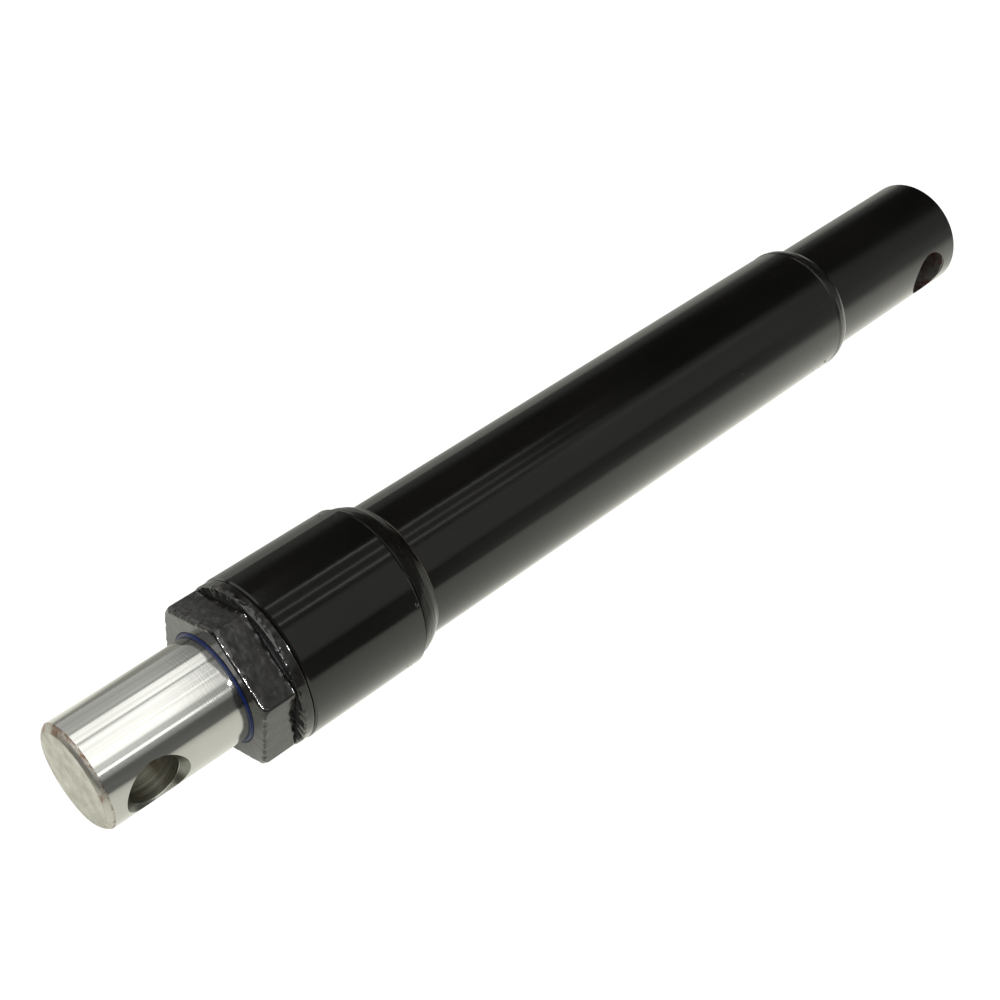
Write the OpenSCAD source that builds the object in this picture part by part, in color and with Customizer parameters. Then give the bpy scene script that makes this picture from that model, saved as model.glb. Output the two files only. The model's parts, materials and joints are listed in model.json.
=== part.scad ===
// Single-acting hydraulic cylinder with a displacement rod and a packing nut.
//
// The origin is the centre of the base pin hole. +X runs along the cylinder towards the
// rod end, which is also the way the rod extends, and +Y runs along both pin holes.

/* [Rod] */
// Diameter of the ground rod
rod_d = 38.1; // [36:0.1:38.5]
// Distance between the two pin holes with the rod in
closed_length = 387.35; // [384:0.05:480]
// Travel of the rod
stroke = 203.2; // [100:0.1:205]
// From the rod's pin hole to its end face
rod_nose = 18.25; // [17:0.25:24]
// Chamfer round the rod's end face
rod_chamfer = 2.2; // [0.5:0.1:3]

/* [Barrel] */
// Outside diameter of the barrel tube
barrel_d = 50.8; // [50.2:0.1:52]
// Wall of the barrel tube
barrel_wall = 4.75; // [4:0.05:5]
// From the base pin hole to the rear end of the barrel
barrel_start = 62.5; // [58:0.5:65]

/* [Base lug] */
// Diameter of the round base lug
lug_d = 44.45; // [43.5:0.05:46]
// From the base pin hole to the end of the lug
lug_tail = 16.75; // [15:0.25:22]
// Length of the lug's spigot inside the barrel
spigot_length = 10; // [6:0.5:12]

/* [Pin holes] */
// Diameter of both pin holes, for a 19 mm pin
pin_hole_d = 19.3; // [16:0.1:19.5]
// Depth of the rod hole's countersinks
rod_sink = 3.5; // [1:0.1:4.5]
// Depth of the base hole's countersinks
base_sink = 0.7; // [0.5:0.1:3]

/* [Port] */
// Bore of the tapped hydraulic port
port_d = 11.12; // [9:0.01:12]
// From the base pin hole to the port
port_x = 38; // [34:1:42]
// Depth of the tapped part of the port
port_depth = 13; // [10:0.5:14]

/* [Gland] */
// Outside diameter of the gland body
gland_d = 60.3; // [60:0.1:64]
// Length of the gland body
gland_length = 48; // [47.5:0.5:51]
// Bore of the packing chamber
packing_d = 50.8; // [50:0.1:51.5]

/* [Packing nut] */
// Width across the flats of the packing nut
nut_flats = 51.4; // [49:0.1:54]
// Thickness of the hexagon
hex_thickness = 12.9; // [11:0.1:16]
// Thickness of the round collar behind the hexagon
collar_thickness = 4.0; // [3:0.1:6]
// Turn of the hexagon away from the pin holes, in degrees
nut_turn = -4; // [-30:1:30]

/* [Hidden] */
$fn = 96;
eps = 0.01;

// Small chamfer on turned edges
edge_break = 0.6;

// Radial clearance of the bearings and seals on the rod, and of plain bores round it
running = 0.08;
loose = 0.35;

rod_r = rod_d / 2;
barrel_r = barrel_d / 2;
bore_r = barrel_r - barrel_wall;
lug_r = lug_d / 2;
gland_r = gland_d / 2;
packing_r = packing_d / 2;
pin_r = pin_hole_d / 2;
port_r = port_d / 2;

// Stations along X, from the base to the rod end
spigot_end = barrel_start + spigot_length;
rod_start = spigot_end + 1;
rod_hole_x = closed_length;
rod_end = closed_length + rod_nose;

// The nut's outer end is a fixed way behind the rod hole, and the gland follows from it
exposed_rod = 52.9;
nut_face = rod_end - exposed_rod;
hex_start = nut_face - hex_thickness;
collar_start = hex_start - collar_thickness;
nut_gap = 0.4;
gland_front = collar_start - nut_gap;
gland_rear = gland_front - gland_length;

// Inside the gland: tube socket, inner flange, bearing, packing, washer, nut thread
socket_depth = 11;
flange_thickness = 2.5;
bearing_length = 7;
bearing_wall = 2.5;
packing_rise = (packing_r - rod_r - running) / 2;
v_rings = 3;
v_thick = 2.6;
male_edge = 1.2;
female_web = 1.4;
washer_thickness = 2;
thread_r = packing_r + 1.6;
flange_start = gland_rear + socket_depth;
bearing_start = flange_start + flange_thickness;
packing_start = bearing_start + bearing_length;
v_start = packing_start + male_edge;
v_end = v_start + v_rings * v_thick;
washer_start = v_end + packing_rise + female_web;
thread_start = washer_start + washer_thickness;

// Stop on the rod's inner end: snap ring, thrust washer and guided collar on a turned seat
seat_r = rod_r - 2.6;
stop_gap = 0.5;
axial_play = 0.3;
collar_front = flange_start - stop_gap - stroke;
seat_end = collar_front + axial_play;
snap_groove_start = rod_start + 2;
snap_thickness = 2;
snap_depth = 1.3;
thrust_start = snap_groove_start + snap_thickness;
thrust_thickness = 2;
collar_rear = thrust_start + thrust_thickness + axial_play;
guide_ring_width = 8;
guide_ring_start = (collar_rear + collar_front - guide_ring_width) / 2;
guide_ring_depth = 1.8;

// Wiper and wear ring in the packing nut
wiper_groove_end = nut_face - 2.6;
wiper_groove_start = wiper_groove_end - 4.6;
wiper_groove_r = rod_r + 4.2;
nut_mouth_r = rod_r + 1.3;
wiper_lip = 0.6;
wear_ring_start = thread_start + 4;
wear_ring_width = 6.5;
wear_ring_wall = 2.2;

// How far the rod's end chamfer is rounded out past a straight slope
nose_swell = 0.25;

// Weld beads: length along the barrel, and how far each one swells past a straight slope
front_bead_length = 8;
rear_bead_length = 4.1;
bead_swell = 0.7;
gland_chamfer = 1.6;

// Port and oil passage in the lug
passage_r = 3.2;
spotface_r = 9;
spotface_z = sqrt(lug_r * lug_r - spotface_r * spotface_r);

steel_black = [0.07, 0.07, 0.075];
steel_bright = [0.78, 0.77, 0.74];
steel_plain = [0.5, 0.5, 0.5];
bronze = [0.72, 0.52, 0.26];
packing_cloth = [0.28, 0.2, 0.13];
seal_blue = [0.05, 0.12, 0.5];

// A profile of [x, r] points turned round the X axis
module turned(profile) {
    rotate([0, 90, 0])
        rotate_extrude()
            polygon([for (p = profile) [p[1], p[0]]]);
}

// A plain round bar from x0 to x1
module bar(x0, x1, r) {
    translate([x0, 0, 0])
        rotate([0, 90, 0])
            cylinder(h = x1 - x0, r = r);
}

// A plain ring from x0 to x1
module ring(x0, x1, inner, outer) {
    difference() {
        bar(x0, x1, outer);
        bar(x0 - 1, x1 + 1, inner);
    }
}

// A cross hole along Y at x, with a 60 degree countersink of the given depth at each mouth
module pin_hole(x, bar_r, sink) {
    flare = 2 * sink * tan(30);
    translate([x, 0, 0])
        rotate([90, 0, 0])
            cylinder(h = 2 * bar_r + 2, r = pin_r, center = true);
    for (side = [-1, 1])
        translate([x, side * (bar_r - sink), 0])
            rotate([-90 * side, 0, 0])
                cylinder(h = 2 * sink, r1 = pin_r, r2 = pin_r + flare);
}

// Points of a slope from a to b, swollen out on its right-hand side by a half sine
function swollen_slope(a, b, swell, steps = 8) =
    let (run = b - a, side = [run[1], -run[0]] / norm(run))
    [for (i = [0 : steps]) a + run * i / steps + side * swell * sin(180 * i / steps)];

// One chevron ring: both faces rise to a ridge half way across the packing
module chevron(x0, thickness) {
    inner = rod_r + running;
    middle = (inner + packing_r) / 2;
    turned([
        [x0, inner], [x0 + packing_rise, middle], [x0, packing_r],
        [x0 + thickness, packing_r], [x0 + thickness + packing_rise, middle],
        [x0 + thickness, inner]
    ]);
}

module base_lug() {
    color(steel_black)
        difference() {
            turned([
                [-lug_tail, 0], [-lug_tail, lug_r - edge_break], [edge_break - lug_tail, lug_r],
                [barrel_start, lug_r], [barrel_start, bore_r], [spigot_end - edge_break, bore_r],
                [spigot_end, bore_r - edge_break], [spigot_end, 0]
            ]);
            pin_hole(0, lug_r, base_sink);
            oil_passage();
        }
}

// Tapped port on the underside, its spotface, and the drilling to the spigot's end
module oil_passage() {
    translate([port_x, 0, -lug_r - 1])
        cylinder(h = lug_r - spotface_z + 1, r = spotface_r);
    translate([port_x, 0, -spotface_z - 1])
        cylinder(h = port_depth + 1, r = port_r);
    translate([port_x, 0, -spotface_z])
        cylinder(h = spotface_z, r = passage_r);
    bar(port_x, spigot_end + 1, passage_r);
}

module rear_weld_bead() {
    toe = [barrel_start - rear_bead_length, lug_r];
    color(steel_black)
        turned(concat(swollen_slope([barrel_start, barrel_r], toe, bead_swell), [[barrel_start, lug_r]]));
}

module barrel_tube() {
    color(steel_black)
        ring(barrel_start, flange_start, bore_r, barrel_r);
}

module front_weld_bead() {
    top = [gland_rear, gland_r - gland_chamfer];
    toe = [gland_rear - front_bead_length, barrel_r];
    color(steel_black)
        turned(concat(swollen_slope(top, toe, bead_swell), [[gland_rear, barrel_r]]));
}

module gland_body() {
    color(steel_black)
        turned([
            [gland_rear, barrel_r], [flange_start, barrel_r],
            [flange_start, rod_r + loose], [bearing_start, rod_r + loose],
            [bearing_start, rod_r + running + bearing_wall],
            [packing_start, rod_r + running + bearing_wall],
            [packing_start, packing_r], [thread_start - 0.5, packing_r],
            [thread_start - 0.5, thread_r], [gland_front, thread_r],
            [gland_front, gland_r - edge_break], [gland_front - edge_break, gland_r],
            [gland_rear + gland_chamfer, gland_r], [gland_rear, gland_r - gland_chamfer]
        ]);
}

module rod_bearing() {
    inner = rod_r + running;
    color(bronze)
        ring(bearing_start, packing_start, inner, inner + bearing_wall);
}

// Wedge ring on the pressure side of the packing
module packing_male_ring() {
    inner = rod_r + running;
    color(steel_plain)
        turned([
            [packing_start, inner], [v_start, inner],
            [v_start + packing_rise, (inner + packing_r) / 2],
            [v_start, packing_r], [packing_start, packing_r]
        ]);
}

module v_ring(index) {
    color(packing_cloth)
        chevron(v_start + (index - 1) * v_thick, v_thick);
}

// Hollow-backed ring that the nut's washer pushes on
module packing_female_ring() {
    inner = rod_r + running;
    color(steel_plain)
        turned([
            [v_end, inner], [v_end + packing_rise, (inner + packing_r) / 2],
            [v_end, packing_r], [washer_start, packing_r], [washer_start, inner]
        ]);
}

module packing_washer() {
    color(steel_plain)
        ring(washer_start, thread_start, rod_r + loose, packing_r - 0.2);
}

module packing_nut() {
    color(steel_black)
        difference() {
            union() {
                bar(thread_start, collar_start, thread_r);
                bar(collar_start - eps, hex_start, gland_r - 0.3);
                nut_hexagon();
            }
            bar(thread_start - 1, nut_face + 1, rod_r + loose);
            bar(wear_ring_start, wear_ring_start + wear_ring_width, rod_r + running + wear_ring_wall);
            bar(wiper_groove_start, wiper_groove_end, wiper_groove_r);
            bar(wiper_groove_end - eps, nut_face + 1, nut_mouth_r);
        }
}

// Hexagon with its corners just broken, and turned down to a 30 degree cone at its outer face
module nut_hexagon() {
    corner_r = 0.995 * nut_flats / sqrt(3);
    nose_r = 0.96 * nut_flats / sqrt(3);
    nose_length = (corner_r - nose_r) / tan(30);
    intersection() {
        rotate([nut_turn, 0, 0])
            translate([hex_start - eps, 0, 0])
                rotate([0, 90, 0])
                    cylinder(h = hex_thickness + eps, r = nut_flats / sqrt(3), $fn = 6);
        turned([
            [hex_start - 1, 0], [hex_start - 1, corner_r], [nut_face - nose_length, corner_r],
            [nut_face, nose_r], [nut_face, 0]
        ]);
    }
}

module nut_wear_ring() {
    inner = rod_r + running;
    color(bronze)
        ring(wear_ring_start, wear_ring_start + wear_ring_width, inner, inner + wear_ring_wall);
}

// Body held in the nut's groove, with a lip that stands out of the nut's face
module wiper_seal() {
    inner = rod_r + running;
    lip_end = nut_face + wiper_lip;
    color(seal_blue)
        turned([
            [wiper_groove_start, inner + 1.2], [wiper_groove_start, wiper_groove_r],
            [wiper_groove_end, wiper_groove_r], [wiper_groove_end, nut_mouth_r],
            [nut_face - 0.3, nut_mouth_r], [lip_end, inner + 0.7], [lip_end, inner],
            [wiper_groove_start + 3, inner]
        ]);
}

module piston_rod() {
    color(steel_bright)
        difference() {
            turned(concat(
                [[rod_end, 0]],
                swollen_slope([rod_end, rod_r - rod_chamfer], [rod_end - rod_chamfer, rod_r], nose_swell),
                [
                    [seat_end + 0.8, rod_r], [seat_end, rod_r - 0.8], [seat_end, seat_r],
                    [thrust_start, seat_r], [thrust_start, seat_r - snap_depth],
                    [snap_groove_start, seat_r - snap_depth], [snap_groove_start, seat_r],
                    [rod_start + 1, seat_r], [rod_start, seat_r - 1], [rod_start, 0]
                ]
            ));
            pin_hole(rod_hole_x, rod_r, rod_sink);
        }
}

// Spring ring in the rod's groove, open at one side
module snap_ring() {
    gap = 5;
    color(steel_plain)
        difference() {
            ring(snap_groove_start, thrust_start, seat_r - snap_depth, seat_r + 2);
            translate([snap_groove_start - 1, -gap / 2, 0])
                cube([snap_thickness + 2, gap, rod_r]);
        }
}

module thrust_washer() {
    color(steel_plain)
        ring(thrust_start, thrust_start + thrust_thickness, seat_r, bore_r - 0.6);
}

module stop_collar() {
    outer = bore_r - 0.3;
    color(steel_plain)
        difference() {
            ring(collar_rear, collar_front, seat_r + running, outer);
            ring(guide_ring_start, guide_ring_start + guide_ring_width, outer - guide_ring_depth, outer + 1);
        }
}

module guide_ring() {
    color(bronze)
        ring(guide_ring_start, guide_ring_start + guide_ring_width,
            bore_r - 0.3 - guide_ring_depth, bore_r - running);
}

base_lug();
rear_weld_bead();
barrel_tube();
front_weld_bead();
gland_body();
rod_bearing();
packing_male_ring();
v_ring(1);  // v_ring_1
v_ring(2);  // v_ring_2
v_ring(3);  // v_ring_3
packing_female_ring();
packing_washer();
packing_nut();
nut_wear_ring();
wiper_seal();
piston_rod();
snap_ring();
thrust_washer();
stop_collar();
guide_ring();
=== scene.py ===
"""Looks of a black single-acting hydraulic cylinder with a bright rod and a packing nut.

The CAD frame is in metres: the origin is the base pin hole, +X runs along the cylinder to the
rod end, +Y along the pin holes and +Z up. Angles round the cylinder start at +Y and turn to +Z.
"""

import json
import math
import random

import bmesh
import bpy
from mathutils import Matrix, Vector, noise


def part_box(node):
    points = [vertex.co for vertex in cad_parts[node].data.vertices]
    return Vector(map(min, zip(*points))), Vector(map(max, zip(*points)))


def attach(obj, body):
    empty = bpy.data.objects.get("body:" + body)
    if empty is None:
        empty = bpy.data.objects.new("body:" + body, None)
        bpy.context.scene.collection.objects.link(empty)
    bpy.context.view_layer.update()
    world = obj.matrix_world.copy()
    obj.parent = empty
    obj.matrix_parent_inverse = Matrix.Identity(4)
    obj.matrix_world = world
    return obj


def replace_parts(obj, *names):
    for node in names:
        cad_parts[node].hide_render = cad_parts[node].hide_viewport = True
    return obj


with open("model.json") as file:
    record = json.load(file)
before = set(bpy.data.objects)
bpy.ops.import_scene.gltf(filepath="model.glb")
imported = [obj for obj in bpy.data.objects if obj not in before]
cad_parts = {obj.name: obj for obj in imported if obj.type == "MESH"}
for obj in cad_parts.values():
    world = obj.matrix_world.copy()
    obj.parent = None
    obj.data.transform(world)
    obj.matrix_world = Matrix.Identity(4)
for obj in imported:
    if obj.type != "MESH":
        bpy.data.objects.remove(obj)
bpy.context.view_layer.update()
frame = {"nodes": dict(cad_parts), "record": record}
rng = random.Random(7)
noise.seed_set(7)  # without it noise_vector differs from run to run

MM = 0.001
TAU = 2 * math.pi


def stations():
    """The places along X and the radii that the looks need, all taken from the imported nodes."""
    low, high = {}, {}
    for name in ("packing_nut", "gland_body", "barrel_tube", "base_lug", "piston_rod", "wiper_seal",
                 "front_weld_bead", "rear_weld_bead"):
        low[name], high[name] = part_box(name)
    return {
        "nut_back": low["packing_nut"].x,
        "nut_face": high["packing_nut"].x,
        "nut_collar_r": high["packing_nut"].y,
        "groove_r": high["wiper_seal"].y,
        "groove_back": low["wiper_seal"].x,
        "groove_front": high["packing_nut"].x - 2.6 * MM,
        "gland_rear": low["gland_body"].x,
        "gland_r": high["gland_body"].y,
        "barrel_start": low["barrel_tube"].x,
        "barrel_r": high["barrel_tube"].y,
        "lug_r": high["base_lug"].y,
        "rod_end": high["piston_rod"].x,
        "rod_r": high["piston_rod"].y,
        "front_toe": low["front_weld_bead"].x,
        "rear_toe": low["rear_weld_bead"].x,
    }


AT = stations()
NUT = {
    "thickness": 12.9 * MM,  # of the hexagon
    "flats": 51.4 * MM,
    "nose_r": 28.5 * MM,  # where the corners are cut at the outer face
    "turn": math.radians(-4),  # the angle that one flat faces
}
MOUNTS = {mount["name"]: mount for mount in frame["record"]["mounts"]}


def mount_radius(name):
    return MOUNTS[name]["dims"]["r_mm"] * MM


# ---------------------------------------------------------------- node helpers


class Nodes:
    """A new material, with short ways to add nodes and to link them."""

    def __init__(self, name):
        self.material = bpy.data.materials.new(name)
        self.material.use_nodes = True
        self.tree = self.material.node_tree
        self.shader = self.tree.nodes["Principled BSDF"]
        self.coords = self.add("ShaderNodeTexCoord").outputs["Object"]
        split = self.add("ShaderNodeSeparateXYZ")
        self.put(split.inputs[0], self.coords)
        self.x, self.y, self.z = split.outputs

    def add(self, kind, **values):
        """A node whose inputs are set from numbers or linked from sockets, and its properties set."""
        node = self.tree.nodes.new(kind)
        for key, value in values.items():
            if key in node.inputs:
                self.put(node.inputs[key], value)
            else:
                setattr(node, key, value)
        return node

    def put(self, socket, value):
        if isinstance(value, bpy.types.NodeSocket):
            self.tree.links.new(value, socket)
        else:
            socket.default_value = value

    def set(self, **values):
        """Sets or links inputs of the Principled shader; underscores stand for spaces."""
        for key, value in values.items():
            self.put(self.shader.inputs[key.replace("_", " ")], value)

    def math(self, operation, a, b=0.0):
        node = self.tree.nodes.new("ShaderNodeMath")
        node.operation = operation
        self.put(node.inputs[0], a)
        self.put(node.inputs[1], b)
        return node.outputs[0]

    def noise(self, scale, detail=4.0, roughness=0.5, stretch=(1, 1, 1)):
        """Noise in object space, stretched along X, Y or Z by a factor below 1."""
        mapping = self.add("ShaderNodeMapping", Vector=self.coords, Scale=stretch)
        texture = self.add("ShaderNodeTexNoise", Scale=scale, Detail=detail, Roughness=roughness)
        self.put(texture.inputs["Vector"], mapping.outputs["Vector"])
        return texture.outputs["Fac"]

    def spots(self, scale, size, stretch=(1, 1, 1)):
        """1 inside small dots or dashes scattered in space, 0 elsewhere."""
        mapping = self.add("ShaderNodeMapping", Vector=self.coords, Scale=stretch)
        texture = self.add("ShaderNodeTexVoronoi", Scale=scale)
        self.put(texture.inputs["Vector"], mapping.outputs["Vector"])
        return self.ramp(texture.outputs["Distance"], size, size * 0.5)

    def ramp(self, value, low, high, to_low=0.0, to_high=1.0, smooth=False):
        """Maps low..high of a value onto to_low..to_high."""
        node = self.add("ShaderNodeMapRange", interpolation_type="SMOOTHSTEP" if smooth else "LINEAR")
        self.put(node.inputs["Value"], value)
        ends = {"From Min": low, "From Max": high, "To Min": to_low, "To Max": to_high}
        for key, number in ends.items():
            node.inputs[key].default_value = number
        return node.outputs["Result"]

    def band(self, value, low, high, soft):
        """1 between low and high, falling smoothly to 0 over the soft margin on each side."""
        rise = self.ramp(value, low - soft, low + soft, smooth=True)
        fall = self.ramp(value, high - soft, high + soft, 1.0, 0.0, smooth=True)
        return self.math("MULTIPLY", rise, fall)

    def mix(self, factor, a, b):
        node = self.add("ShaderNodeMix", data_type="RGBA")
        self.put(node.inputs["Factor"], factor)
        self.put(node.inputs["A"], a)
        self.put(node.inputs["B"], b)
        return node.outputs["Result"]

    def mix_value(self, factor, a, b):
        node = self.add("ShaderNodeMix", data_type="FLOAT")
        self.put(node.inputs["Factor"], factor)
        self.put(node.inputs["A"], a)
        self.put(node.inputs["B"], b)
        return node.outputs["Result"]

    def bump(self, height, distance, strength=1.0, under=None):
        node = self.add("ShaderNodeBump", Strength=strength, Distance=distance)
        self.put(node.inputs["Height"], height)
        if under is not None:
            self.put(node.inputs["Normal"], under)
        return node.outputs["Normal"]

    def distance(self, a, b):
        """The length of (a, b): how far a point is from the axis that both are measured from."""
        squares = [self.math("MULTIPLY", value, value) for value in (a, b)]
        return self.math("SQRT", self.math("ADD", *squares))

    def inside(self, value, limit, soft=0.05 * MM):
        """1 where the value is below the limit, 0 above it."""
        return self.ramp(value, limit - soft, limit + soft, 1.0, 0.0)

    def bore(self, name, extra):
        """1 inside a pin hole along Y, out to its radius plus extra."""
        across = self.math("SUBTRACT", self.x, MOUNTS[name]["pos_m"][0])
        return self.inside(self.distance(across, self.z), mount_radius(name) + extra)


def grey(value, warm=0.0):
    return (value * (1 + warm), value, value * (1 - warm), 1.0)


# ---------------------------------------------------------------- materials


def black_paint():
    """Gloss black, duller towards the lug, with orange peel, waves, dust and scratches; bare bores."""
    m = Nodes("black_paint")
    smear = m.noise(30, 5, 0.6, (0.3, 1, 1))
    peel = m.noise(800, 2, 0.4)
    wave = m.noise(110, 2, 0.5, (0.6, 1, 1))
    dust = m.spots(300, 0.028)
    scratch = m.spots(160, 0.012, (0.12, 1, 1))
    mark = m.math("MAXIMUM", dust, scratch)
    tone = m.mix(m.ramp(smear, 0.4, 0.75), grey(0.0018, 0.05), grey(0.0042, 0.10))
    tone = m.mix(mark, tone, grey(0.035, 0.05))
    gloss = m.ramp(m.x, 0.02, AT["gland_rear"], 0.24, 0.10)
    rough = m.mix_value(mark, m.math("ADD", gloss, m.ramp(smear, 0.3, 0.8, -0.03, 0.04)), 0.5)

    pin = m.bore("base_pin_hole", 0.12 * MM)
    across = m.math("SUBTRACT", m.x, MOUNTS["port"]["pos_m"][0])
    under = m.inside(m.z, -0.4 * AT["lug_r"])
    spotface_r = mount_radius("port") + 3.2 * MM
    tapped = m.math("MULTIPLY", under, m.inside(m.distance(across, m.y), spotface_r))
    bare = m.math("MAXIMUM", pin, tapped)
    rings = m.noise(1600, 3, 0.6, (0.04, 1, 0.04))
    rust = m.noise(150, 5, 0.65)
    steel = m.mix(m.ramp(rust, 0.48, 0.64), grey(0.15, 0.03), (0.10, 0.035, 0.028, 1.0))
    m.set(
        Base_Color=m.mix(bare, tone, steel),
        Metallic=m.mix_value(bare, 0.0, 0.9),
        Roughness=m.mix_value(bare, rough, 0.42),
        Normal=m.bump(m.mix_value(bare, peel, rings), 0.00003, 0.25, m.bump(wave, 0.0002, 0.10)),
        IOR=1.5,
    )
    return m.material


def weld_paint():
    """Paint over a weld bead: worn at its toe, with pale rough streaks that are stronger low down, and dull
    on top of the front bead.
    """
    m = Nodes("weld_paint")
    streak = m.noise(900, 4, 0.6, (1, 0.12, 0.12))
    patch = m.noise(110, 4, 0.6)
    low = m.ramp(m.z, -0.2 * AT["barrel_r"], 0.35 * AT["barrel_r"], 1.0, 0.12)
    pale_streaks = m.math("MULTIPLY", m.ramp(streak, 0.45, 0.66), m.ramp(patch, 0.40, 0.62))
    pale_streaks = m.math("MULTIPLY", pale_streaks, low)
    ends = (AT["front_toe"], AT["rear_toe"])
    toes = [m.band(m.x, x - 0.15 * MM, x + 0.25 * MM, 0.1 * MM) for x in ends]
    toe = m.math("MULTIPLY", m.math("MAXIMUM", *toes), m.ramp(patch, 0.40, 0.60, 0.05, 0.55))
    tone = m.mix(pale_streaks, grey(0.0045, 0.06), grey(0.10, 0.05))
    front = m.ramp(m.x, AT["front_toe"] - 3 * MM, AT["front_toe"])
    dull = m.math("MULTIPLY", front, m.math("SUBTRACT", 1.0, low))
    m.set(
        Base_Color=m.mix(toe, tone, (0.20, 0.17, 0.13, 1.0)),
        Specular_IOR_Level=m.mix_value(dull, 0.5, 0.08),
        Roughness=m.mix_value(pale_streaks, m.ramp(patch, 0.3, 0.8, 0.14, 0.28), 0.45),
        Normal=m.bump(streak, 0.00006, 0.4),
        IOR=1.5,
    )
    return m.material


def nut_paint():
    """The same black laid on thickly, with a pebbly skin and specks; painted shade makes it near black and
    dull in the step behind the hexagon.
    """
    m = Nodes("nut_paint")
    pebble = m.noise(520, 3, 0.5)
    lump = m.noise(150, 3, 0.5)
    speck = m.spots(260, 0.045)
    r = m.distance(m.y, m.z)
    hex_back = AT["nut_face"] - NUT["thickness"]
    # painted shade: the step behind the hexagon is coloured near black, made rough and given little
    # reflection, standing for the shade in that recess
    step = m.band(m.x, hex_back - 0.6 * MM, hex_back, 0.05 * MM)
    recess_shade = m.math("MULTIPLY", step, m.inside(r, AT["nut_collar_r"] - 0.55 * MM, 0.15 * MM))
    tone = m.mix(m.ramp(lump, 0.35, 0.7), grey(0.003, 0.06), grey(0.008, 0.12))
    rough = m.ramp(pebble, 0.3, 0.75, 0.10, 0.18)
    m.set(
        Base_Color=m.mix(recess_shade, m.mix(speck, tone, grey(0.09, 0.04)), grey(0.002)),
        Roughness=m.mix_value(recess_shade, rough, 0.7),
        Specular_IOR_Level=m.mix_value(recess_shade, 0.5, 0.12),
        Normal=m.bump(pebble, 0.00003, 0.35, m.bump(lump, 0.0002, 0.10)),
        IOR=1.5,
    )
    return m.material


def rod_steel():
    """Plated, ground rod with a stained bare end, painted shade along the inner edge of its bevel, and a
    drilled hole with tool rings inside.
    """
    m = Nodes("rod_steel")
    end, rod_r = AT["rod_end"], AT["rod_r"]
    r = m.distance(m.y, m.z)
    face = m.ramp(m.x, end - 0.10 * MM, end - 0.04 * MM)
    skin = m.ramp(r, rod_r - 0.10 * MM, rod_r - 0.04 * MM)
    below = m.math("SUBTRACT", 1.0, skin)
    bevel = m.math("MULTIPLY", below, m.ramp(m.x, end - 2.6 * MM, end - 2.4 * MM))
    drilled = m.bore("rod_pin_hole", 0.08 * MM)

    grind = m.noise(2400, 2, 0.5, (1, 0.05, 0.05))
    draw = m.noise(260, 3, 0.5, (0.05, 1, 1))
    haze = m.noise(26, 4, 0.6, (0.4, 1, 1))
    plate = m.mix(m.ramp(haze, 0.35, 0.7), (0.43, 0.43, 0.415, 1), (0.37, 0.37, 0.35, 1))

    stain = m.noise(150, 6, 0.65)
    blotch = m.noise(380, 3, 0.7)
    bare = m.mix(m.ramp(stain, 0.35, 0.68), (0.46, 0.455, 0.41, 1), (0.33, 0.32, 0.27, 1))
    face_tone = m.mix(m.ramp(blotch, 0.62, 0.74, 0, 0.6), bare, (0.15, 0.12, 0.08, 1))
    bevel_tone = m.mix(m.ramp(stain, 0.50, 0.64), (0.44, 0.43, 0.39, 1), (0.25, 0.17, 0.12, 1))
    # dark lines at the bevel's edges: the one at its outer edge is a stain, the one where the bevel meets
    # the end face is painted shade
    outer_rim = m.ramp(r, rod_r - 0.55 * MM, rod_r - 0.15 * MM)
    inner_rim_shade = m.inside(r, rod_r - 2.1 * MM, 0.25 * MM)
    rim = m.math("MULTIPLY", m.math("MAXIMUM", outer_rim, inner_rim_shade), m.ramp(blotch, 0.42, 0.58, 0.15, 0.9))
    bevel_tone = m.mix(rim, bevel_tone, (0.12, 0.06, 0.04, 1))
    rings = m.noise(1300, 3, 0.6, (0.04, 1, 0.04))
    sink_tone = m.mix(m.ramp(stain, 0.35, 0.7), (0.21, 0.22, 0.20, 1), (0.13, 0.12, 0.095, 1))
    hole_tone = m.mix(m.ramp(stain, 0.46, 0.62), (0.56, 0.57, 0.53, 1), (0.42, 0.35, 0.25, 1))
    hole_tone = m.mix(m.ramp(rings, 0.42, 0.62, 0.0, 0.75), hole_tone, (0.20, 0.20, 0.18, 1))

    tone = m.mix(below, plate, sink_tone)
    tone = m.mix(drilled, tone, hole_tone)
    tone = m.mix(bevel, tone, bevel_tone)
    tone = m.mix(face, tone, face_tone)
    rough = m.mix_value(below, m.ramp(haze, 0.3, 0.8, 0.11, 0.18), 0.34)
    rough = m.mix_value(m.math("MAXIMUM", face, bevel), rough, m.ramp(stain, 0.35, 0.65, 0.34, 0.48))
    saw_marks = m.noise(900, 3, 0.6, (1, 1, 0.15))
    finish = m.mix_value(face, m.mix_value(below, grind, rings), saw_marks)
    m.set(
        Base_Color=tone,
        Metallic=m.mix_value(face, 1.0, 0.7),
        Roughness=rough,
        Normal=m.bump(finish, 0.00008, m.mix_value(below, 0.07, 0.9), m.bump(draw, 0.00008, 0.07)),
    )
    return m.material


def machined(name, tone, warm, roughness):
    """Turned metal: fine rings round the axis and a little staining."""
    m = Nodes(name)
    rings = m.noise(3000, 2, 0.5, (1, 0.05, 0.05))
    stain = m.noise(90, 4, 0.6)
    m.set(
        Base_Color=m.mix(m.ramp(stain, 0.35, 0.7), grey(tone, warm), grey(tone * 0.7, warm * 1.2)),
        Metallic=1.0,
        Roughness=m.ramp(stain, 0.3, 0.8, roughness * 0.8, roughness * 1.25),
        Normal=m.bump(rings, 0.00002, 0.4),
    )
    return m.material


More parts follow.
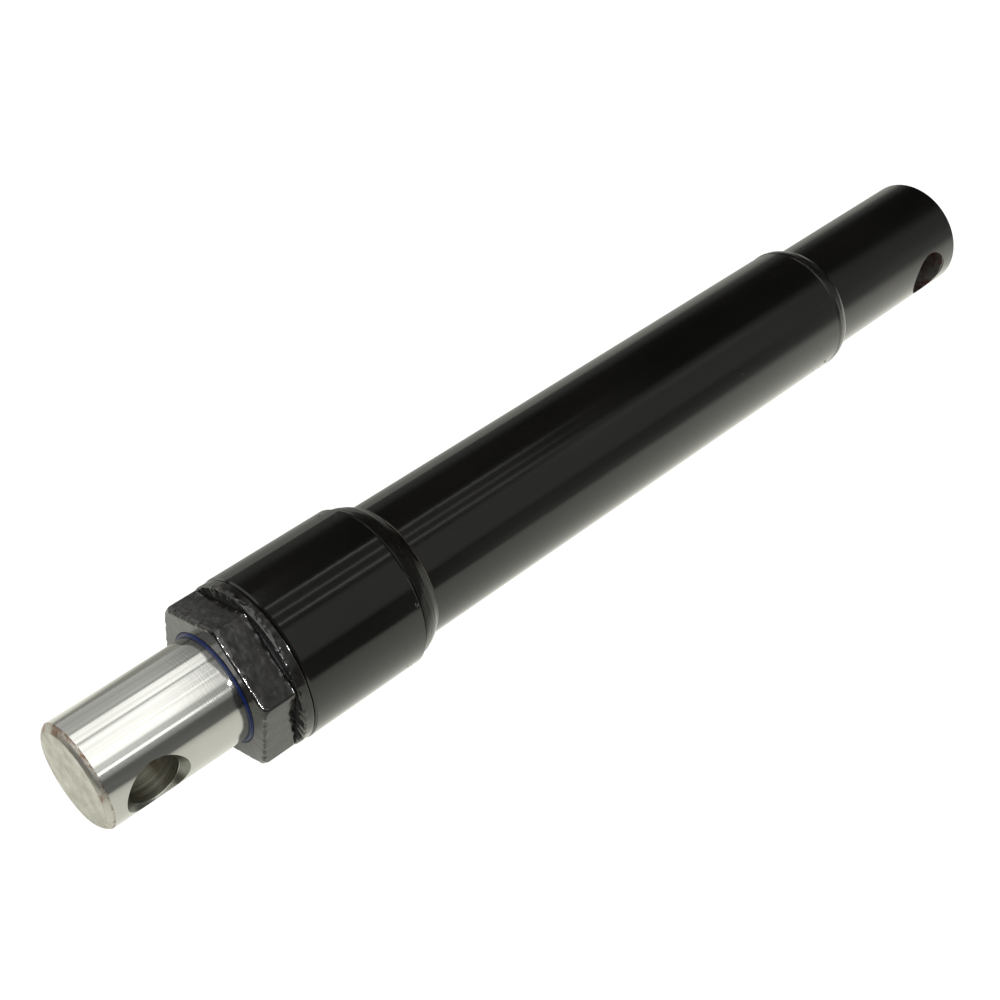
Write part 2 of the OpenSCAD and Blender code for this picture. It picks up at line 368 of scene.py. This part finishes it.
def seal(name, color, roughness):
    """Moulded rubber or cloth-filled rubber with a fine grain."""
    m = Nodes(name)
    grain = m.noise(1400, 4, 0.6)
    worn = tuple(c * 1.8 + 0.004 for c in color[:3]) + (1.0,)
    m.set(
        Specular_IOR_Level=0.15,
        Base_Color=m.mix(m.ramp(grain, 0.45, 0.8, 0, 0.5), color, worn),
        Roughness=m.ramp(grain, 0.3, 0.8, roughness * 0.8, roughness * 1.2),
        Normal=m.bump(grain, 0.00005, 0.3),
    )
    return m.material


MATERIALS = {
    "black_paint": black_paint(),
    "weld_paint": weld_paint(),
    "nut_paint": nut_paint(),
    "rod_steel": rod_steel(),
    "plain_steel": machined("plain_steel", 0.5, 0.01, 0.28),
    "bronze": machined("bronze", 0.42, 0.35, 0.25),
    "packing": seal("packing", (0.05, 0.035, 0.022, 1.0), 0.7),
    "blue_seal": seal("blue_seal", (0.002, 0.010, 0.060, 1.0), 0.3),
}


def finish_cad_nodes():
    """Gives each carried-over CAD node the material of its slot in the record."""
    for entry in frame["record"]["subparts"]:
        node = frame["nodes"][entry["node"]]
        node.data.materials.clear()
        node.data.materials.append(MATERIALS[entry["material_slot"]])


# ---------------------------------------------------------------- detailed pieces


def loop(x, radius, around):
    """A ring of points round the X axis; radius is a number or a function of the angle."""
    points = []
    for i in range(around):
        angle = TAU * i / around
        r = radius(angle) if callable(radius) else radius
        points.append((x, r * math.cos(angle), r * math.sin(angle)))
    return points


def closed_skin(name, loops, material):
    """A closed ring-shaped piece through the loops in order, the last one joined to the first."""
    around = len(loops[0])
    vertices = [point for ring in loops for point in ring]
    faces = []
    for i in range(len(loops)):
        a, b = i * around, (i + 1) % len(loops) * around
        for j in range(around):
            k = (j + 1) % around
            faces.append((a + j, a + k, b + k, b + j))
    mesh = bpy.data.meshes.new(name)
    mesh.from_pydata(vertices, [], faces)
    return add_piece(name, mesh, material)


def add_piece(name, mesh, material):
    """Puts a finished mesh on the cylinder body, smooth, outward and in its material."""
    shape = bmesh.new()
    shape.from_mesh(mesh)
    bmesh.ops.recalc_face_normals(shape, faces=shape.faces)
    shape.to_mesh(mesh)
    shape.free()
    mesh.shade_smooth()
    mesh.materials.append(MATERIALS[material])
    piece = bpy.data.objects.new(name, mesh)
    bpy.context.scene.collection.objects.link(piece)
    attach(piece, "cylinder")
    return piece


def roughen(piece, size, depth):
    """Moves each vertex along its normal by lumpy noise of that size, as deep as depth(point) says."""
    mesh = piece.data
    pushes = [
        vertex.normal * depth(vertex.co) * noise.fractal(vertex.co / size, 0.9, 2.0, 3)
        for vertex in mesh.vertices
    ]
    for vertex, push in zip(mesh.vertices, pushes):
        vertex.co += push
    mesh.update()


def steps(low, high, count):
    return [low + (high - low) * i / count for i in range(count + 1)]


def hexagon_radius(apothem, fillet, turn):
    """Radius at any angle of a hexagon with rounded corners and a flat facing the angle turn."""
    half = TAU / 12
    flat_end = math.atan(math.tan(half) * (1 - fillet / apothem))
    middle = (apothem - fillet) / math.cos(half)

    def radius(angle):
        off = abs((angle - turn + half) % (TAU / 6) - half)
        if off <= flat_end:
            return apothem / math.cos(off)
        swing = half - off
        return middle * math.cos(swing) + math.sqrt(fillet**2 - (middle * math.sin(swing)) ** 2)

    return radius


def soft_minimum(a, b, blend):
    """The smaller of two lengths, rounded over where they are within about one blend of each other."""
    low, gap = min(a, b), abs(a - b) / blend
    return low - blend * math.log1p(math.exp(-gap))


def make_nut():
    """The packing nut: a paint-rounded hexagon on a round collar, its thread sleeve and its grooves."""
    around = 600
    face, back = AT["nut_face"], AT["nut_back"]
    hex_back = face - NUT["thickness"]
    collar_back = hex_back - 4.0 * MM
    collar_r = AT["nut_collar_r"]
    sleeve_r = collar_r - 2.85 * MM
    bore_r = AT["rod_r"] + 0.35 * MM
    mouth_r = AT["rod_r"] + 1.3 * MM
    apothem, turn = NUT["flats"] / 2, NUT["turn"]
    corner, edge, back_edge = 1.1 * MM, 0.9 * MM, 1.1 * MM  # roundings of the hexagon
    rear_round, front_round = 0.4 * MM, 0.6 * MM  # roundings of the collar

    def hexagon(inset, x=hex_back):
        """The hexagon's outline drawn in by inset, its corners cut by the cone at the outer face."""
        flat = hexagon_radius(apothem - inset, max(corner - inset, 0.2 * MM), turn)
        cone = NUT["nose_r"] + (face - x) * math.tan(TAU / 12) - inset
        return lambda angle: soft_minimum(flat(angle), cone, 0.12 * MM)

    loops = [loop(back, bore_r, around), loop(back, sleeve_r, around)]
    loops.append(loop(collar_back, sleeve_r, around))
    loops += [loop(collar_back, r, around) for r in steps(sleeve_r, collar_r - rear_round, 3)[1:]]
    for turned in steps(0, TAU / 4, 4):
        x = collar_back + rear_round * (1 - math.cos(turned))
        loops.append(loop(x, collar_r - rear_round * (1 - math.sin(turned)), around))
    rim_x = steps(collar_back + rear_round, hex_back - front_round, 8)
    loops += [loop(x, collar_r, around) for x in rim_x[1:]]
    for turned in steps(0, TAU / 4, 5)[1:]:
        x = hex_back - front_round * (1 - math.sin(turned))
        loops.append(loop(x, collar_r - front_round * (1 - math.cos(turned)), around))
    loops.append(loop(hex_back - 0.25 * MM, apothem - 1.4 * MM, around))
    for turned in steps(0, TAU / 4, 6):
        x = hex_back + back_edge * (1 - math.cos(turned))
        loops.append(loop(x, hexagon(back_edge * (1 - math.sin(turned))), around))
    flat_x = steps(hex_back + back_edge, face - edge, 34)
    loops += [loop(x, hexagon(0, x), around) for x in flat_x[1:]]
    for turned in steps(0, TAU / 4, 6)[1:]:
        x = face - edge * (1 - math.sin(turned))
        loops.append(loop(x, hexagon(edge * (1 - math.cos(turned)), x), around))
    outer = hexagon(edge, face)
    for share in steps(0, 1, 14)[1:]:
        loops.append(loop(face, lambda angle: outer(angle) * (1 - share) + mouth_r * share, around))
    loops.append(loop(AT["groove_front"], mouth_r, around))
    loops.append(loop(AT["groove_front"], AT["groove_r"], around))
    loops.append(loop(AT["groove_back"], AT["groove_r"], around))
    loops.append(loop(AT["groove_back"], bore_r, around))
    nut = closed_skin("packing_nut_shell", loops, "nut_paint")

    def flat_depth(point):
        """Shallow lumps everywhere but on the thread sleeve and in the mouth."""
        hidden = point.x < collar_back + 0.2 * MM or math.hypot(point.y, point.z) < mouth_r + 0.3 * MM
        return 0.0 if hidden else 0.035 * MM

    def edge_depth(point):
        """Deeper beads of paint along the hexagon's and the collar's edges."""
        edges = (hex_back + 0.4 * MM, face - 0.3 * MM, hex_back - 0.4 * MM)
        along = min(abs(point.x - x) for x in edges)
        rim = collar_r if point.x < hex_back else hexagon(0, point.x)(math.atan2(point.z, point.y))
        inward = rim - math.hypot(point.y, point.z)
        return 0.26 * MM * max(0.0, 1 - along / (1.3 * MM)) * max(0.0, 1 - inward / (1.5 * MM))

    roughen(nut, 5.0 * MM, flat_depth)
    roughen(nut, 2.5 * MM, edge_depth)
    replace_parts(nut, "packing_nut")


def bead_loops(top, toe, swell, around, rows, ripple):
    """Loops across a weld bead from (x, r) at its top to its toe, swollen and rippled."""
    (x0, r0), (x1, r1) = top, toe
    length = math.hypot(x1 - x0, r1 - r0)
    side = ((r1 - r0) / length, -(x1 - x0) / length)
    loops = []
    for share in steps(0, 1, rows):
        ring = []
        for i in range(around):
            angle = TAU * i / around
            y, z = math.cos(angle), math.sin(angle)
            sway = 0.35 * MM * noise.noise(Vector((y, z, share)) * 3.1)
            wave = math.sin(ripple * angle + 2.2 * math.cos(math.pi * (share - 0.5)))
            drift = noise.noise(Vector((5 * y, 5 * z, 1.7)))
            lift = math.sin(math.pi * share) * (swell + 0.022 * MM * wave * max(0.0, drift + 0.2))
            lift += 0.09 * MM * noise.noise(Vector((4 * y, 4 * z, 11 * share)))
            x = x0 + (x1 - x0) * share + side[0] * lift + sway
            r = r0 + (r1 - r0) * share + side[1] * lift
            ring.append((x, r * y, r * z))
        loops.append(ring)
    return loops


def make_weld_beads():
    """Rippled beads over the plain CAD ones: gland to barrel, and barrel to lug."""
    around = 720
    top = (AT["gland_rear"] + 0.5 * MM, AT["gland_r"] - 0.95 * MM)
    toe = (AT["front_toe"] - 0.3 * MM, AT["barrel_r"] - 0.05 * MM)
    loops = bead_loops(top, toe, 0.75 * MM, around, 26, 96)
    loops.append(loop(toe[0] + 1.5 * MM, AT["barrel_r"] - 0.6 * MM, around))
    loops.append(loop(top[0] + 0.3 * MM, AT["barrel_r"] - 0.6 * MM, around))
    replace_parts(closed_skin("front_weld", loops, "weld_paint"), "front_weld_bead")

    crest = (AT["barrel_start"] + 2.6 * MM, AT["barrel_r"] - 0.06 * MM)
    edge = (AT["barrel_start"] - 0.2 * MM, AT["barrel_r"] - 0.10 * MM)
    toe = (AT["rear_toe"] - 0.2 * MM, AT["lug_r"] - 0.05 * MM)
    loops = bead_loops(crest, edge, 0.22 * MM, around, 8, 110)
    loops += bead_loops(edge, toe, 0.85 * MM, around, 18, 110)[1:]
    loops.append(loop(toe[0] + 1.0 * MM, AT["lug_r"] - 0.6 * MM, around))
    loops.append(loop(crest[0] + 0.1 * MM, AT["lug_r"] - 0.6 * MM, around))
    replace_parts(closed_skin("rear_weld", loops, "weld_paint"), "rear_weld_bead")


def make_spatter():
    """Small beads of weld spatter under the paint near both welds."""
    front, rear = AT["gland_rear"] / MM, AT["barrel_start"] / MM
    gland_r, barrel_r = AT["gland_r"], AT["barrel_r"]
    spots = [  # x in mm, distance from the axis, degrees round it and size in mm
        (front + 2.5, gland_r, 31, 0.75),
        (front - 1.7, gland_r - 1.95 * MM, 33.6, 0.8),
        (rear + 7.5, barrel_r, -15.3, 0.55),
        (rear + 59.5, barrel_r, 34.9, 0.40),
        (front + 10.1, gland_r, 6, 0.35),
    ]
    for quarter in (1, 2, 3) * 4:
        x, degrees = front + rng.uniform(2, 9), 90 * quarter + rng.uniform(15, 75)
        spots.append((x, gland_r, degrees, rng.uniform(0.2, 0.45)))
        x, degrees = rear + rng.uniform(4, 22), rng.uniform(-180, 180)
        spots.append((x, barrel_r, degrees, rng.uniform(0.15, 0.35)))
    shape = bmesh.new()
    for x, r, degrees, size in spots:
        angle = math.radians(degrees)
        place = Matrix.Translation((x * MM, r * math.cos(angle), r * math.sin(angle)))
        squashed = Matrix.Rotation(angle - TAU / 4, 4, "X") @ Matrix.Diagonal((1, 1, 0.42, 1))
        matrix = place @ squashed
        made = bmesh.ops.create_icosphere(shape, subdivisions=3, radius=size * MM, matrix=matrix)
        for vertex in made["verts"]:
            vertex.co += 0.12 * size * MM * noise.noise_vector(vertex.co / (size * MM))
    mesh = bpy.data.meshes.new("weld_spatter")
    shape.to_mesh(mesh)
    shape.free()
    add_piece("weld_spatter", mesh, "nut_paint")


def make_port_thread():
    """Helical thread lining the tapped port under the lug."""
    port, r = MOUNTS["port"], mount_radius("port")
    pitch, around, per_turn = 1.4 * MM, 72, 8
    length = port["dims"]["length_mm"] * MM
    middle = Vector(port["pos_m"])
    turns = int(length / pitch)
    rows = turns * per_turn
    tooth_height, root_gap, start_gap = 0.75 * MM, 0.1 * MM, 0.3 * MM

    def ring(depth, radius):
        points = []
        for i in range(around):
            angle = TAU * i / around
            here = radius(angle, depth)
            z = middle.z - length / 2 + start_gap + depth
            points.append((middle.x + here * math.cos(angle), here * math.sin(angle), z))
        return points

    def tooth(angle, depth):
        share = (depth / pitch - angle / TAU) % 1
        return r - root_gap - tooth_height * (1 - abs(2 * share - 1))

    def outside(angle, depth):
        return r + 0.2 * MM

    loops = [ring(turns * pitch * i / rows, tooth) for i in range(rows + 1)]
    loops += [ring(turns * pitch, outside), ring(0.0, outside)]
    closed_skin("port_thread", loops, "plain_steel")


# ---------------------------------------------------------------- camera, floor and lights


def make_camera():
    """Above and in front of the rod end, looking back down the cylinder, rolled a few degrees."""
    data = bpy.data.cameras.new("camera")
    data.sensor_width = 36
    data.lens = 61.4
    camera = bpy.data.objects.new("camera", data)
    forward = Vector((-0.50719, -0.46432, -0.72606)).normalized()
    aim = forward.to_track_quat("-Z", "Y").to_matrix() @ Matrix.Rotation(math.radians(5.3), 3, "Z")
    camera.matrix_world = Matrix.Translation((0.53407, 0.28150, 0.44071)) @ aim.to_4x4()
    bpy.context.scene.collection.objects.link(camera)
    bpy.context.scene.camera = camera


def stage_mesh(name, vertices, faces):
    """A mesh that belongs to the studio, not to the object."""
    mesh = bpy.data.meshes.new(name)
    mesh.from_pydata(vertices, [], faces)
    staged = bpy.data.objects.new(name, mesh)
    bpy.context.scene.collection.objects.link(staged)
    return staged


def glow(m, strength, tint):
    """Makes a material only give light, of that strength and tint."""
    m.set(Base_Color=(0, 0, 0, 1), Specular_IOR_Level=0.0)
    m.set(Emission_Color=tint, Emission_Strength=strength)
    return m.material


def make_floor():
    """A white sheet that the gland rests on, with white walls, and the glow that it throws up, dimmed by
    painted shadow where the cylinder shades it.
    """
    half, wall, gap = 4.0, 6.0, 0.0002
    height = -AT["gland_r"] - gap
    corners = [(-half, -half, height), (half, -half, height), (half, half, height), (-half, half, height)]
    tops = [(x, y, wall) for x, y, z in corners]
    walls = [(i, (i + 1) % 4, (i + 1) % 4 + 4, i + 4) for i in range(4)]
    floor = stage_mesh("floor", corners + tops, [(0, 1, 2, 3)] + walls)
    floor.data.materials.append(glow(Nodes("floor"), 1.1, (1, 1, 1, 1)))
    floor.visible_glossy = False
    floor.visible_diffuse = False
    floor.visible_shadow = False

    bounce = stage_mesh("floor_glow", [(x, y, z - gap) for x, y, z in corners], [(0, 1, 2, 3)])
    bounce.visible_camera = False
    m = Nodes("floor_glow")
    # painted shadow: the glow is dimmed under the cylinder and behind it, standing for the cylinder's own
    # shadow on the sheet
    under = m.math("MULTIPLY", m.band(m.y, -0.014, 0.008, 0.012), m.inside(m.x, 0.410, 0.006))
    behind = m.math("MULTIPLY", m.ramp(m.y, -0.03, -0.01, 1.0, 0.0), m.ramp(m.x, 0.33, 0.37, 1.0, 0.0))
    strength = m.math("MULTIPLY", m.ramp(under, 0, 1, 1.2, 0.6), m.ramp(behind, 0, 1, 1.0, 0.38))
    for fade in (
        m.ramp(m.y, 0.05, 1.0, 1.0, 0.25),  # away in front
        m.ramp(m.x, 0.46, 0.60, 1.0, 0.15, smooth=True),  # past the rod end
        m.ramp(m.x, -0.05, 0.26, 1.45, 1.0),  # beside the barrel and the lug
    ):
        strength = m.math("MULTIPLY", strength, fade)
    bounce.data.materials.append(glow(m, strength, (1.0, 1.0, 0.90, 1)))


TENT_RADIUS = 1.6
TENT_BACK, TENT_FRONT = -12.0, 2.5
# From the camera the rod mirrors the tent from about x = -0.22 to 0.01, the gland from -0.50 to -0.28,
# the barrel from -1.43 to -0.48 and the lug from -1.75 to -1.40. Each patch of light has its angles
# round X from, to and softness in degrees, its places along X from, to and softness, and its radiance.
PATCHES = (
    (56, 104, 3, -0.195, TENT_FRONT, 0.04, 2.35),  # main softbox over the rod end
    (109.5, 131, 2.5, -0.24, TENT_FRONT, 0.05, 2.3),  # second softbox, behind it
    (101, 112, 2, -0.20, TENT_FRONT, 0.05, 0.55),  # the gap between the two
    (37.6, 41.4, 0.9, -0.18, TENT_FRONT, 0.04, 4.8),  # thin strip low in front
    (43, 57, 4, -0.16, TENT_FRONT, 0.04, 0.8),  # between the strip and the softbox
    (0, 38, 5, -0.20, TENT_FRONT, 0.05, 0.10),  # below the strip
    (128, 142, 5, -0.20, TENT_FRONT, 0.06, 0.45),  # between the second softbox and the card
    (138, 184, 6, -0.20, TENT_FRONT, 0.06, 0.80),  # card behind the rod
    (26, 70, 4, -1.40, TENT_FRONT, 0.15, 0.40),  # long card in front
    (66, 79, 4, -1.45, -0.80, 0.15, 0.30),  # its upper rear corner
    (10, 68, 12, -4.0, -1.40, 0.15, 0.30),  # card in front that the lug mirrors
    (73, 106, 4, -0.80, -0.22, 0.10, 0.16),  # ceiling between the tubes
    (76.6, 79.0, 0.6, -0.80, -0.10, 0.08, 1.25),  # the three tubes
    (88.8, 91.2, 0.6, -0.80, -0.10, 0.08, 0.95),
    (102.8, 105.2, 0.6, -0.80, -0.10, 0.08, 1.25),
    (160, 190, 9, -4.0, -0.20, 0.10, 0.15),  # wall behind
    (-8, 24, 6, -4.0, -0.55, 0.15, 0.24),  # wall in front, below the long card
    (-12, 6, 8, -4.0, -0.55, 0.15, 0.18),  # its lower part
    (-4, 22, 6, -0.55, TENT_FRONT, 0.15, 0.07),  # the same wall where the gland and the rod mirror it
)


def make_light_tent():
    """A half tube of soft light, dim but for its patches, and streaky where the rod mirrors it."""
    rows = 48
    vertices, faces = [], []
    for i in range(rows + 1):
        angle = math.radians(-2 + 184 * i / rows)
        for x in (TENT_BACK, TENT_FRONT):
            vertices.append((x, TENT_RADIUS * math.cos(angle), TENT_RADIUS * math.sin(angle)))
    for i in range(rows):
        faces.append((2 * i, 2 * i + 1, 2 * i + 3, 2 * i + 2))
    tent = stage_mesh("light_tent", vertices, faces)
    tent.visible_camera = False
    m = Nodes("light_tent")
    turn = m.math("MULTIPLY", m.math("ARCTAN2", m.z, m.y), 360 / TAU)
    total = m.ramp(m.x, -1.6, -0.5, 0.015, 0.05)
    for a0, a1, a_soft, x0, x1, x_soft, radiance in PATCHES:
        patch = m.math("MULTIPLY", m.band(turn, a0, a1, a_soft), m.band(m.x, x0, x1, x_soft))
        total = m.math("ADD", total, m.math("MULTIPLY", patch, radiance))
    streaks = m.add("ShaderNodeTexNoise", noise_dimensions="1D", W=turn, Scale=0.14, Detail=3.0)
    streak = m.ramp(streaks.outputs["Fac"], 0.35, 0.65, 0.84, 1.14)
    total = m.math("MULTIPLY", total, m.mix_value(m.ramp(m.x, -0.26, -0.18), 1.0, streak))
    tent.data.materials.append(glow(m, total, (1.0, 1.0, 0.97, 1)))


def make_sparks():
    """Two small bright lamps off the ends that light only the nut, for the glints on its edges."""
    lit = bpy.data.collections.new("spark_receivers")
    lit.objects.link(bpy.data.objects["packing_nut_shell"])
    reach = TENT_RADIUS - 0.05
    for name, x, degrees, radiance in (
        ("spark_front", 0.95, 49, 8000),
        ("spark_back", -1.1, 47.5, 5000),
    ):
        angle = math.radians(degrees)
        data = bpy.data.lights.new(name, "AREA")
        data.size = 0.06
        data.energy = radiance * math.pi * data.size**2
        lamp = bpy.data.objects.new(name, data)
        place = Vector((x, reach * math.cos(angle), reach * math.sin(angle)))
        aim = (place - Vector((AT["nut_face"], 0, 0))).to_track_quat("Z", "Y").to_matrix().to_4x4()
        lamp.matrix_world = Matrix.Translation(place) @ aim
        lamp.visible_camera = False
        lamp.visible_diffuse = False
        lamp.light_linking.receiver_collection = lit
        bpy.context.scene.collection.objects.link(lamp)


def make_world():
    """A dim room beyond the tent."""
    world = bpy.data.worlds.new("room")
    world.use_nodes = True
    background = world.node_tree.nodes["Background"]
    background.inputs["Color"].default_value = (1.0, 1.0, 0.97, 1.0)
    background.inputs["Strength"].default_value = 0.10
    bpy.context.scene.world = world
    bpy.context.scene.view_settings.view_transform = "Standard"


finish_cad_nodes()
make_nut()
make_weld_beads()
make_spatter()
make_port_thread()
make_camera()
make_floor()
make_light_tent()
make_sparks()
make_world()
